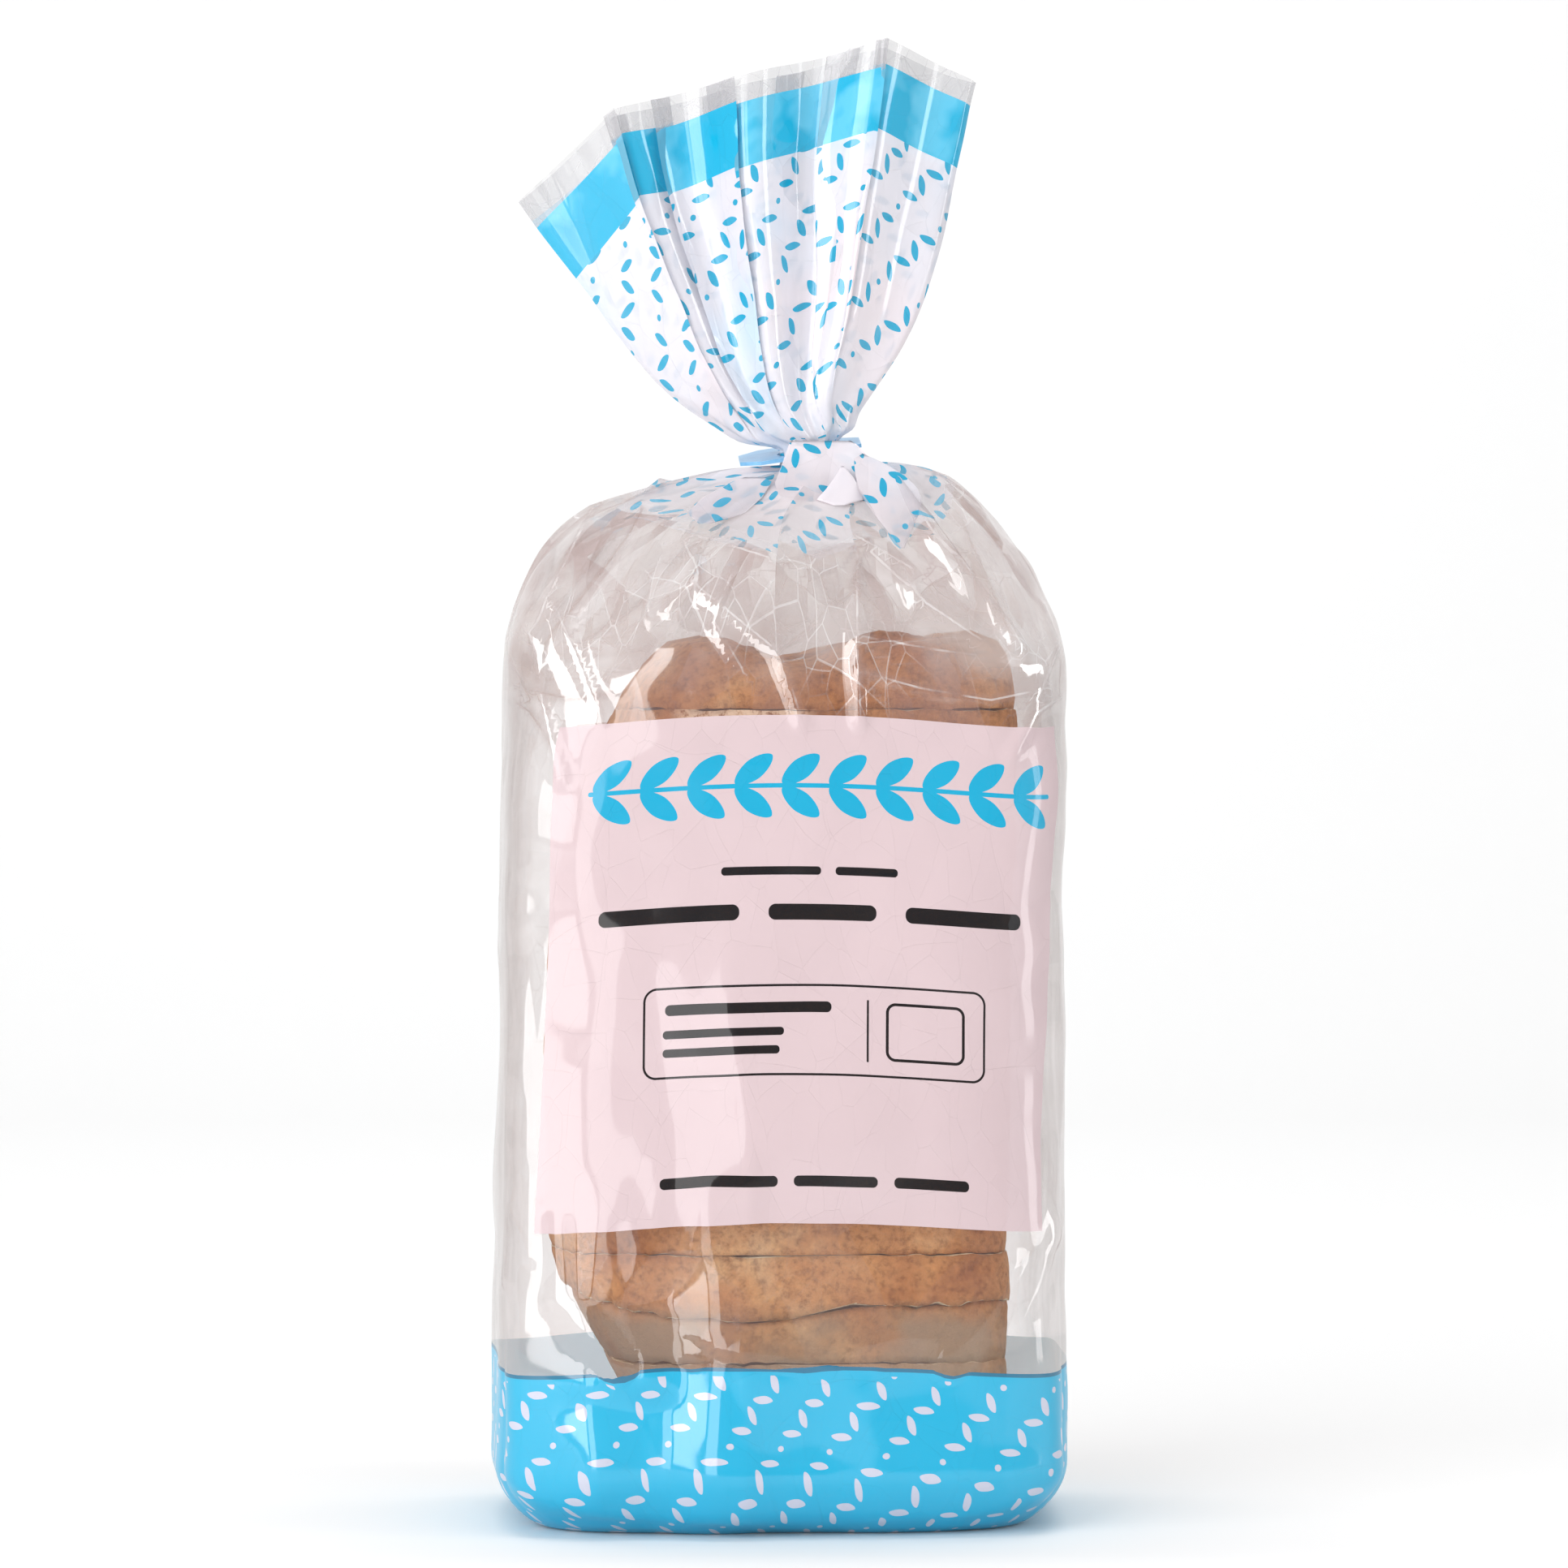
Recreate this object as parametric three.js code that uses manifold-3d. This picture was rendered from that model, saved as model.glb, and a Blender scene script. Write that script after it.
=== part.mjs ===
// A sliced loaf in a clear bread bag, standing on its end, with a flat clip round the gathered neck.
// Millimetres, +Z up. The origin is on the ground under the middle of the bag, and the front faces -Y.
import * as THREE from 'three';
import { mergeVertices } from 'three/addons/utils/BufferGeometryUtils.js';
import Module from 'manifold-3d';

const wasm = await Module();
wasm.setup();

// Driving dimensions of the bag
const BODY_WIDTH = 140.5;
const BODY_DEPTH = 101;
const FOOT_WIDTH = 115;
const FOOT_DEPTH = 78;
const SHOULDER_HEIGHT = 207;
const NECK_X = 7.5;
const NECK_HEIGHT = 259.9;
const NECK_WIDTH = 13.2;
const MOUTH_LEFT = [-63.2, 320.8];
const MOUTH_RIGHT = [49.5, 350];
const MOUTH_DEPTH = 28;
const MOUTH_CROWN = 15.5;

// How finely the bag is faceted, and how many gathers run into the neck
const SIDES = 72;
const RINGS_PER_SPAN = 2;
const GATHERS = 12;

// The tail's mouth turns down outside of this share of its half width, where its two big folds are
const CROWN_CORNER = 0.59;
const FOLD_PITCH = 0.585;

// Driving dimensions of the clip, a flat plate with cut corners
const CLIP_LENGTH = 30;
const CLIP_DEPTH = 23;
const CLIP_THICKNESS = 0.9;
const CLIP_CORNER = 5;
const CLIP_HOLE_RADIUS = 7.6;
const CLIP_SLOT_WIDTH = 3.2;
const CLIP_SHIFT = [-2, 3];
const CLIP_RISE = THREE.MathUtils.degToRad(9);
const CLIP_NOD = THREE.MathUtils.degToRad(9);

// The fold of film that stands up in front of the clip
const FLAP_THICKNESS = 2.4;
const FLAP_FRONT = -13.5;
const FLAP_LEAN = THREE.MathUtils.degToRad(12);
const FLAP_FOOT = 247;
const FLAP_OUTLINE = [
  [0, 0], [19, 0], [24, 4.5], [20.5, 10], [17.5, 14.3], [2.5, 15], [-1.2, 9], [-1.8, 4],
];

// The bag from the foot to the mouth, ring by ring. Each ring has its left and right end as [x, z], its
// half depth, the squareness of its section, the depth of the neck's gathers as a share of the ring's
// size, the rise of its middle over its ends, and the depth of the fan's folds.
const halfBody = BODY_WIDTH / 2;
const halfDepth = BODY_DEPTH / 2;
const halfNeck = NECK_WIDTH / 2;

function ring(left, right, depth, square, gather = 0, crown = 0, fold = 0) {
  return { leftX: left[0], leftZ: left[1], rightX: right[0], rightZ: right[1], depth, square, gather, crown, fold };
}

const STATIONS = [
  ring([-FOOT_WIDTH / 2, 0], [FOOT_WIDTH / 2, 0], FOOT_DEPTH / 2, 4.5),
  ring([-halfBody + 5, 4.5], [halfBody - 5, 4.5], halfDepth - 4.5, 4.5),
  ring([-halfBody, 16], [halfBody, 16], halfDepth, 5),
  ring([-halfBody, 41], [halfBody, 41], halfDepth, 5),
  ring([-halfBody + 1, 115], [halfBody - 1, 115], halfDepth, 5),
  ring([-halfBody + 1.8, 180], [halfBody, 180], halfDepth - 1, 5),
  ring([-halfBody + 2.7, SHOULDER_HEIGHT], [halfBody, SHOULDER_HEIGHT], halfDepth - 4, 4.2),
  ring([-62.5, 229], [64, 229], 38, 3.6),
  ring([-52.5, 242], [56, 241.5], 28, 3, 0.01),
  ring([-34, 250.8], [47, 250.8], 18, 2.5, 0.03),
  ring([-16, 254.9], [37.5, 256], 9.5, 2.2, 0.05),
  ring([NECK_X - halfNeck, 256.6], [NECK_X + halfNeck, 257.8], halfNeck, 2, 0.06),
  ring([NECK_X - halfNeck, 258.8], [NECK_X + halfNeck, 261], halfNeck - 0.4, 2, 0.05),
  ring([NECK_X - halfNeck - 0.6, 260.6], [NECK_X + halfNeck + 0.6, 263], halfNeck + 0.2, 2, 0.06),
  ring([-7.5, 261.8], [18, 265.6], 8, 2, 0.06, 0.8, 0.4),
  ring([-16, 266.5], [19.5, 269], 9.5, 2, 0.04, 2, 1.6),
  ring([-28.5, 275.2], [25.4, 276.5], 11, 2, 0, 5, 3.2),
  ring([-40.8, 289.6], [33.7, 291], 12, 2, 0, 9, 4.5),
  ring([-51.7, 304.3], [39.6, 308], 13, 2, 0, 12.5, 5.5),
  ring([-57.8, 312.8], [44.2, 327], 13.5, 2, 0, 14.5, 6),
  ring(MOUTH_LEFT, MOUTH_RIGHT, MOUTH_DEPTH / 2, 2, 0, MOUTH_CROWN, 6.5),
];

// A smooth value between the stations that never overshoots them
function between(values, place) {
  const last = values.length - 1;
  const i = Math.min(Math.floor(place), last - 1);
  const t = place - i;
  const step = (k) => values[Math.min(Math.max(k + 1, 1), last)] - values[Math.min(Math.max(k, 0), last - 1)];
  const slope = (before, after) => (before * after > 0 ? (2 * before * after) / (before + after) : 0);
  const startSlope = slope(step(i - 1), step(i));
  const endSlope = slope(step(i), step(i + 1));
  const t2 = t * t;
  const t3 = t2 * t;
  return (
    values[i] * (2 * t3 - 3 * t2 + 1) +
    startSlope * (t3 - 2 * t2 + t) +
    values[i + 1] * (3 * t2 - 2 * t3) +
    endSlope * (t3 - t2)
  );
}

function stationAt(place) {
  const result = {};
  for (const name of Object.keys(STATIONS[0])) {
    result[name] = between(STATIONS.map((station) => station[name]), place);
  }
  return result;
}

// One point of the bag's skin: the turn runs from the right end over the back to the left end
function skinPoint(place, turn) {
  const at = stationAt(place);
  const angle = turn * Math.PI * 2;
  const rounded = (value) => Math.sign(value) * Math.abs(value) ** (2 / at.square);
  const across = rounded(Math.cos(angle));
  const deep = rounded(Math.sin(angle));
  const swell = 1 + at.gather * Math.cos(GATHERS * angle);
  const half = (at.rightX - at.leftX) / 2;
  const x = (at.leftX + at.rightX) / 2 + half * across * swell;
  const foldWave = -at.fold * Math.cos(((across + CROWN_CORNER) / FOLD_PITCH) * Math.PI * 2);
  const y = at.depth * deep * swell + foldWave * (1 - across ** 8);
  const rise = at.crown * Math.min(1, (1 - Math.abs(across)) / (1 - CROWN_CORNER));
  const z = at.leftZ + ((at.rightZ - at.leftZ) * (across + 1)) / 2 + rise;
  return new THREE.Vector3(x, y, z);
}

function bagSkin() {
  const rings = (STATIONS.length - 1) * RINGS_PER_SPAN;
  const positions = [];
  for (let r = 0; r <= rings; r += 1) {
    for (let s = 0; s < SIDES; s += 1) {
      positions.push(...skinPoint(r / RINGS_PER_SPAN, s / SIDES));
    }
  }
  const faces = [];
  for (let r = 0; r < rings; r += 1) {
    for (let s = 0; s < SIDES; s += 1) {
      const a = r * SIDES + s;
      const b = r * SIDES + ((s + 1) % SIDES);
      faces.push(a, b, b + SIDES, a, b + SIDES, a + SIDES);
    }
  }
  // The foot and the mouth are closed by strips from each back point to the front point before it
  const top = rings * SIDES;
  for (let s = 0; s < SIDES / 2; s += 1) {
    const back = [s, s + 1];
    const front = [(SIDES - s) % SIDES, SIDES - s - 1];
    if (s > 0) {
      faces.push(back[0], front[0], back[1]);
      faces.push(top + back[0], top + back[1], top + front[0]);
    }
    if (s < SIDES / 2 - 1) {
      faces.push(back[1], front[0], front[1]);
      faces.push(top + back[1], top + front[1], top + front[0]);
    }
  }
  const geometry = new THREE.BufferGeometry();
  geometry.setAttribute('position', new THREE.Float32BufferAttribute(positions, 3));
  geometry.setIndex(faces);
  return geometry;
}

function outlineShape(points) {
  return new THREE.Shape(points.map(([x, y]) => new THREE.Vector2(x, y)));
}

// The fold in front of the clip: its outline stands upright and leans back a little
function flapSkin() {
  const shape = outlineShape(FLAP_OUTLINE);
  const geometry = new THREE.ExtrudeGeometry(shape, { depth: FLAP_THICKNESS, bevelEnabled: false });
  geometry.rotateX(Math.PI / 2 - FLAP_LEAN);
  geometry.translate(0, FLAP_FRONT, FLAP_FOOT);
  return geometry;
}

function toSolid(geometry) {
  const bare = geometry.clone();
  for (const name of ['normal', 'uv']) {
    bare.deleteAttribute(name);
  }
  const merged = mergeVertices(bare, 1e-4);
  const mesh = new wasm.Mesh({
    numProp: 3,
    vertProperties: new Float32Array(merged.attributes.position.array),
    triVerts: new Uint32Array(merged.index.array),
  });
  return new wasm.Manifold(mesh);
}

function toGeometry(solid) {
  const mesh = solid.getMesh();
  const geometry = new THREE.BufferGeometry();
  geometry.setAttribute('position', new THREE.BufferAttribute(mesh.vertProperties, 3));
  geometry.setIndex(new THREE.BufferAttribute(mesh.triVerts, 1));
  geometry.computeVertexNormals();
  return geometry;
}

function makeBag() {
  const solid = toSolid(bagSkin()).add(toSolid(flapSkin()));
  const material = new THREE.MeshStandardMaterial({ color: 0xe3dfe6, roughness: 0.25, metalness: 0 });
  const mesh = new THREE.Mesh(toGeometry(solid), material);
  mesh.name = 'bag';
  return mesh;
}

// The clip's outline is centred on the neck: a plate with cut corners, whose round hole opens to the
// back edge through a narrow slot
function clipShape() {
  const [shiftX, shiftY] = CLIP_SHIFT;
  const left = shiftX - CLIP_LENGTH / 2;
  const right = shiftX + CLIP_LENGTH / 2;
  const front = shiftY - CLIP_DEPTH / 2;
  const back = shiftY + CLIP_DEPTH / 2;
  const halfSlot = CLIP_SLOT_WIDTH / 2;
  const slotAngle = Math.acos(halfSlot / CLIP_HOLE_RADIUS);
  const shape = outlineShape([
    [halfSlot, back],
    [right - CLIP_CORNER, back],
    [right, back - CLIP_CORNER],
    [right, front + CLIP_CORNER],
    [right - CLIP_CORNER, front],
    [left + CLIP_CORNER, front],
    [left, front + CLIP_CORNER],
    [left, back - CLIP_CORNER],
    [left + CLIP_CORNER, back],
    [-halfSlot, back],
  ].reverse());
  shape.absarc(0, 0, CLIP_HOLE_RADIUS, slotAngle, Math.PI - slotAngle, true);
  return shape;
}

function makeClip() {
  const options = { depth: CLIP_THICKNESS, bevelEnabled: false, curveSegments: 30 };
  const geometry = new THREE.ExtrudeGeometry(clipShape(), options);
  geometry.translate(0, 0, -CLIP_THICKNESS / 2);
  const material = new THREE.MeshStandardMaterial({ color: 0x8fc2e6, roughness: 0.35, metalness: 0 });
  const mesh = new THREE.Mesh(geometry, material);
  mesh.position.set(NECK_X, 0, NECK_HEIGHT);
  mesh.rotation.set(CLIP_NOD, -CLIP_RISE, 0);
  mesh.name = 'clip';
  return mesh;
}

const loafBag = new THREE.Group();
loafBag.add(makeBag(), makeClip());

export default loafBag;
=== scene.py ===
import math
import random

import bmesh
import bpy
import numpy as np
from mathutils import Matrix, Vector, noise


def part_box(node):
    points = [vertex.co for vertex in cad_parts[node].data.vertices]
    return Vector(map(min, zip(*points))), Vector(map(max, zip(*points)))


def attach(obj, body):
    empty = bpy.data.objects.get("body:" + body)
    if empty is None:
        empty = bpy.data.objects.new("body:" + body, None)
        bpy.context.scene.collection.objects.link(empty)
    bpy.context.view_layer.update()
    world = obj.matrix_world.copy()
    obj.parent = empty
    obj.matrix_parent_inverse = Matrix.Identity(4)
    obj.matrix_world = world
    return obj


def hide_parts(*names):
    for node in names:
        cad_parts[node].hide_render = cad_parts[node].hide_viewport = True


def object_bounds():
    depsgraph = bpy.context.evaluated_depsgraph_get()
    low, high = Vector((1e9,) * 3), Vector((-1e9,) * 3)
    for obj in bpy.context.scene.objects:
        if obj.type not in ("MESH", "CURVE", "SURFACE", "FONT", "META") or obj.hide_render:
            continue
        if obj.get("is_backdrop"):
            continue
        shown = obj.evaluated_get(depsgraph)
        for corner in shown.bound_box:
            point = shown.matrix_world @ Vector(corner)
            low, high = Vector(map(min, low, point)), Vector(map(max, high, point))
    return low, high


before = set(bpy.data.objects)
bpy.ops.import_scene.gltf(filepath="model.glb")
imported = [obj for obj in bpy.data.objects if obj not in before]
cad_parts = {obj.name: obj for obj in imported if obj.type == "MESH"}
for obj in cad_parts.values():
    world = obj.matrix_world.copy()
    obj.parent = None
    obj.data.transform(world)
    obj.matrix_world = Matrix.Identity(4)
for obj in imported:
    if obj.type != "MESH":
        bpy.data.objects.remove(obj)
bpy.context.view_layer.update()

MM = 0.001
bag_low, bag_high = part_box("bag")

# The loaf
# A pan loaf cut into slices and slid into the bag whole, so that it now stands on its heel. Its flat pan
# side faces right and its domed crown left, and the crown falls away towards both heels. The crust is
# baked brown, and each cut shows as a thin ragged line.

LOAF_RIGHT = 55.5 * MM
LOAF_HALF_DEPTH = 42.5 * MM
FIRST_CUT = 14.4 * MM
SLICE_THICKNESS = 13.04 * MM
SLICES = 14
LOAF_FOOT = 1.8 * MM
LOAF_TOP = 215.5 * MM
TOP_CUT = FIRST_CUT + SLICES * SLICE_THICKNESS
CUT_GAP = 0.5 * MM
TOP_HEEL_ROUND = 11 * MM
FOOT_HEEL_ROUND = 7 * MM
TOP_HOLLOW = 6.5 * MM
OUTLINE_STEPS = 240
CUT_FACE_RINGS = 5
LAYERS_PER_SLICE = 7

# The slices below this height are pinched together and in, and the cut over them sags: its x and drop in mm
PINCHED_BELOW = FIRST_CUT + 3 * SLICE_THICKNESS
PINCHED_IN = 0.9 * MM
SAG_PLACES = [-51, -32, -15, -1, 19, 52]
SAG_DROPS = [3.1, -0.8, -2.6, -2.8, 1.2, 1.4]

# Left edge of the crown at heights up the loaf, both in mm
CROWN_HEIGHTS = [0, 20, 41, 57, 75, 110, 150, 180, 199, 216]
CROWN_EDGES = [-22, -33, -44, -53.5, -56.5, -57, -55, -48, -39, -30]


def between(values, place):
    """Smooth values between evenly numbered stations that never overshoot them."""
    values = np.asarray(values, float)
    steps = np.diff(values)
    product = steps[:-1] * steps[1:]
    total = np.where(np.abs(steps[:-1] + steps[1:]) < 1e-12, 1, steps[:-1] + steps[1:])
    inner = np.where(product > 0, 2 * product / total, 0)
    slopes = np.concatenate([[steps[0]], inner, [steps[-1]]])
    place = np.asarray(place, float)
    i = np.minimum(place.astype(int), len(values) - 2)
    t = place - i
    return (
        values[i] * (2 * t**3 - 3 * t**2 + 1)
        + slopes[i] * (t**3 - 2 * t**2 + t)
        + values[i + 1] * (3 * t**2 - 2 * t**3)
        + slopes[i + 1] * (t**3 - t**2)
    )


def crown_edge(z):
    station = np.interp(z / MM, CROWN_HEIGHTS, range(len(CROWN_HEIGHTS)))
    return float(between(CROWN_EDGES, station)) * MM


def loaf_lean(z):
    """The slices have slid a little to the right towards the top."""
    return 2.2 * MM * max(0.0, (z - 120 * MM) / (100 * MM))


def heel_round(z):
    """How far the crust has drawn in towards the rounded end of each heel."""
    into_top = min(max((z - TOP_CUT) / (LOAF_TOP - TOP_CUT), 0.0), 1.0)
    into_foot = min(max((FIRST_CUT - z) / (FIRST_CUT - LOAF_FOOT), 0.0), 1.0)
    top = 1 - math.sqrt(1 - into_top**2.4)
    foot = 1 - math.sqrt(1 - into_foot**3)
    return TOP_HEEL_ROUND * top + FOOT_HEEL_ROUND * foot


def slice_outline(z, grow, turn):
    """One point of the loaf's section: square corners on the pan side, round ones on the crown."""
    left = crown_edge(z)
    right = LOAF_RIGHT + loaf_lean(z)
    across = math.cos(turn)
    deep = math.sin(turn)
    square = 6.0 if across > 0 else 3.3
    x = math.copysign(abs(across) ** (2 / square), across)
    y = math.copysign(abs(deep) ** (2 / square), deep)
    middle = (left + right) / 2
    drawn = grow - heel_round(z)
    half = (right - left) / 2 + drawn
    bulge = 1.0 + 0.035 * math.exp(-((x + 0.55) / 0.3) ** 2)
    return middle + half * x, (LOAF_HALF_DEPTH + drawn) * y * bulge


def cut_height(z, x, y):
    """Height of a cut at a place across the loaf: nearly flat, but torn and wavy where the slices pinch."""
    wide = noise.noise(Vector((x / (26 * MM), y / (26 * MM), z / MM)))
    torn = noise.noise(Vector((x / (2.6 * MM), y / (2.6 * MM), z / MM + 5)))
    if abs(z - PINCHED_BELOW) > 2 * MM:
        return z + (0.6 * wide + 0.5 * torn) * MM
    sag = float(np.interp(x / MM, SAG_PLACES, SAG_DROPS))
    return z + (0.8 * wide + 1.2 * torn + sag) * MM


def cut_gap(z, x, y):
    """How far a cut stands open at a place. In some stretches the slices touch."""
    touching = noise.noise(Vector((x / (9 * MM), y / (9 * MM), z / MM + 9)))
    return CUT_GAP * min(1.4, max(0.05, 0.55 + 1.9 * touching))


def finished(bm, name):
    mesh = bpy.data.meshes.new(name)
    bm.to_mesh(mesh)
    bm.free()
    piece = bpy.data.objects.new(name, mesh)
    bpy.context.collection.objects.link(piece)
    return piece


def make_slice(name, low, high, seed):
    """A slab of the loaf between two cuts, with its crust waved a little."""
    random.seed(seed)
    shift = Vector((random.uniform(-0.35, 0.35), random.uniform(-0.4, 0.4), 0)) * MM
    grow = random.uniform(-0.25, 0.2) * MM
    if high < PINCHED_BELOW + 1 * MM:
        grow -= PINCHED_IN
    bm = bmesh.new()
    bmesh.ops.create_cone(bm, cap_ends=True, segments=OUTLINE_STEPS, radius1=1, radius2=1, depth=2)
    caps = [f for f in bm.faces if abs(f.normal.z) > 0.9]
    bmesh.ops.inset_region(bm, faces=caps, thickness=0.012, use_even_offset=True)
    for _ in range(CUT_FACE_RINGS):
        caps = [f for f in bm.faces if len(f.verts) > 8]
        bmesh.ops.inset_region(bm, faces=caps, thickness=0.14, use_even_offset=True)
    for layer in range(1, LAYERS_PER_SLICE):
        height = -1 + 2 * layer / LAYERS_PER_SLICE
        cut = bm.verts[:] + bm.edges[:] + bm.faces[:]
        bmesh.ops.bisect_plane(bm, geom=cut, plane_co=(0, 0, height), plane_no=(0, 0, 1))
    for v in bm.verts:
        share = min(1.0, math.hypot(v.co.x, v.co.y))
        turn = math.atan2(v.co.y, v.co.x)
        level = (v.co.z + 1) / 2
        rim_x, rim_y = slice_outline(low + (high - low) * level, grow, turn)
        x, y = rim_x * share, rim_y * share
        lower = cut_height(low, x, y) + cut_gap(low, x, y) / 2
        upper = cut_height(high, x, y) - cut_gap(high, x, y) / 2
        if high == LOAF_TOP:
            upper -= TOP_HOLLOW * math.exp(-(((x - 2 * MM) / (15 * MM)) ** 2))
            upper += 2.5 * MM * noise.noise(Vector((x, y, 0)) / (20 * MM))
        place = Vector((x, y, lower + (upper - lower) * level)) + shift
        if share > 0.99:
            broad = noise.noise(place / (19 * MM))
            fine = noise.noise(place / (3.2 * MM) + Vector((seed * 3.7, seed * 1.3, 0)))
            cut_edge = 0.3 * MM if abs(v.co.z) > 0.99 else 0.0
            place += Vector((rim_x, rim_y, 0)).normalized() * (0.9 * MM * broad + 0.25 * MM * fine - cut_edge)
        v.co = place
    bmesh.ops.recalc_face_normals(bm, faces=bm.faces[:])
    for f in bm.faces:
        f.smooth = True
        f.material_index = 1 if abs(f.normal.z) > 0.7 else 0
    return finished(bm, name)


def new_material(name):
    material = bpy.data.materials.new(name)
    material.use_nodes = True
    nodes = material.node_tree.nodes
    links = material.node_tree.links
    return material, nodes, links, nodes["Principled BSDF"]


def fill(socket, value):
    """Sets a socket to a number, a vector or a colour, or links it to the output of another node."""
    if isinstance(value, (int, float)):
        socket.default_value = value
    elif isinstance(value, tuple):
        socket.default_value = value if socket.type == "VECTOR" else (*value, 1)
    else:
        links.new(value, socket)


def maths(operation, a, b=0.0):
    node = nodes.new("ShaderNodeMath")
    node.operation = operation
    for socket, value in zip(node.inputs, (a, b)):
        fill(socket, value)
    return node.outputs[0]


def less(a, b):
    return maths("SUBTRACT", a, b)


def up_to_one(value):
    return maths("MINIMUM", value, 1.0)


def both(a, b):
    return maths("MULTIPLY", a, b)


def either(*masks):
    total = masks[0]
    for mask in masks[1:]:
        total = maths("MAXIMUM", total, mask)
    return total


def within(value, low, high):
    return both(maths("GREATER_THAN", value, low), maths("LESS_THAN", value, high))


def blend_colour(below, above, mask, way="MIX"):
    mix = nodes.new("ShaderNodeMix")
    mix.data_type = "RGBA"
    mix.blend_type = way
    for name, value in (("Factor", mask), ("A", below), ("B", above)):
        fill(mix.inputs[name], value)
    return mix.outputs["Result"]


def blend_value(below, above, mask):
    return maths("ADD", below, both(less(above, below), mask))


def ramp_value(value, low, high, first=0.0, last=1.0):
    """A value that changes from first to last while the input goes from low to high."""
    ramp = nodes.new("ShaderNodeMapRange")
    for socket, number in zip(list(ramp.inputs)[1:5], (low, high, first, last)):
        socket.default_value = number
    links.new(value, ramp.inputs["Value"])
    return ramp.outputs[0]


def noise_texture(place, scale, detail, roughness=0.5, output="Fac"):
    texture = nodes.new("ShaderNodeTexNoise")
    for name, value in (("Vector", place), ("Scale", scale), ("Detail", detail), ("Roughness", roughness)):
        fill(texture.inputs[name], value)
    return texture.outputs[output]


def colour_ramp(value, stops):
    ramp = nodes.new("ShaderNodeValToRGB")
    elements = ramp.color_ramp.elements
    while len(elements) < len(stops):
        elements.new(0.5)
    for element, (position, colour) in zip(elements, stops):
        element.position = position
        element.color = (*colour, 1)
    links.new(value, ramp.inputs["Fac"])
    return ramp.outputs["Color"]


def axes_of(vector):
    split = nodes.new("ShaderNodeSeparateXYZ")
    links.new(vector, split.inputs[0])
    return split.outputs


def make_grain():
    """The fine relief of crust, crumb and moulded plastic: the height of a noise, and the normal it gives."""
    group = bpy.data.node_groups.new("fine grain", "ShaderNodeTree")
    group.interface.new_socket("Place", in_out="INPUT", socket_type="NodeSocketVector")
    for name in ("Scale", "Detail", "Roughness", "Strength", "Distance"):
        group.interface.new_socket(name, in_out="INPUT", socket_type="NodeSocketFloat")
    group.interface.new_socket("Height", in_out="OUTPUT", socket_type="NodeSocketFloat")
    group.interface.new_socket("Normal", in_out="OUTPUT", socket_type="NodeSocketVector")
    given = group.nodes.new("NodeGroupInput").outputs
    result = group.nodes.new("NodeGroupOutput").inputs
    texture = group.nodes.new("ShaderNodeTexNoise")
    bump = group.nodes.new("ShaderNodeBump")
    group.links.new(given["Place"], texture.inputs["Vector"])
    for name in ("Scale", "Detail", "Roughness"):
        group.links.new(given[name], texture.inputs[name])
    for name in ("Strength", "Distance"):
        group.links.new(given[name], bump.inputs[name])
    group.links.new(texture.outputs["Fac"], bump.inputs["Height"])
    group.links.new(texture.outputs["Fac"], result["Height"])
    group.links.new(bump.outputs["Normal"], result["Normal"])
    return group


fine_grain = make_grain()


def grained(place, scale, detail, roughness, strength, distance):
    """Gives the shader at hand the fine grain, and returns the grain's height."""
    node = nodes.new("ShaderNodeGroup")
    node.node_tree = fine_grain
    for socket, value in zip(node.inputs, (place, scale, detail, roughness, strength, distance)):
        fill(socket, value)
    links.new(node.outputs["Normal"], shader.inputs["Normal"])
    return node.outputs["Height"]


crust, nodes, links, shader = new_material("baked crust")
crust_place = nodes.new("ShaderNodeTexCoord").outputs["Object"]
baked = colour_ramp(noise_texture(crust_place, 30, 6, 0.62), [
    (0.3, (0.24, 0.075, 0.022)), (0.42, (0.43, 0.165, 0.05)),
    (0.56, (0.58, 0.27, 0.10)), (0.7, (0.70, 0.42, 0.21))])
specks = noise_texture(crust_place, 520, 4, 0.68)
speckle = colour_ramp(specks, [(0.32, (0.45, 0.38, 0.32)), (0.5, (0.95, 0.95, 0.95)), (0.7, (1.2, 1.2, 1.2))])
baked = blend_colour(baked, speckle, 0.75, "MULTIPLY")
to_right, to_back, crust_height = axes_of(crust_place)

# The pinched slices at the foot are drawn in, and painted shade darkens their crust to a duller, greyer
# brown, in patches
painted_foot_shade = ramp_value(crust_height, PINCHED_BELOW + 2.5 * MM, PINCHED_BELOW - 4 * MM, 0.0, 0.85)
shade_patches = ramp_value(noise_texture(crust_place, 45, 3), 0.40, 0.58, 0.35, 1.0)
SHADED_FOOT_CRUST = (0.34, 0.25, 0.165)
baked = blend_colour(baked, SHADED_FOOT_CRUST, both(painted_foot_shade, shade_patches))

# Under the top cut a strip of the crust is torn thin, and pale crumb shows through it
torn_strip = both(ramp_value(crust_height, TOP_CUT - 6 * MM, TOP_CUT - 4 * MM),
                  maths("LESS_THAN", crust_height, TOP_CUT))
off_middle = maths("ABSOLUTE", maths("ADD", to_right, 9.5 * MM))
torn_strip = both(torn_strip, ramp_value(off_middle, 18 * MM, 12 * MM))
torn_strip = both(torn_strip, maths("LESS_THAN", to_back, 0.0))
torn_strip = both(torn_strip, ramp_value(specks, 0.36, 0.5))
PALE_CRUMB = (0.95, 0.70, 0.50)
baked = blend_colour(baked, PALE_CRUMB, torn_strip)
links.new(baked, shader.inputs["Base Color"])
shader.inputs["Roughness"].default_value = 0.72
shader.inputs["Specular IOR Level"].default_value = 0.3
grained(crust_place, 700, 5, 0.68, 0.6, 0.9 * MM)

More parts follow.
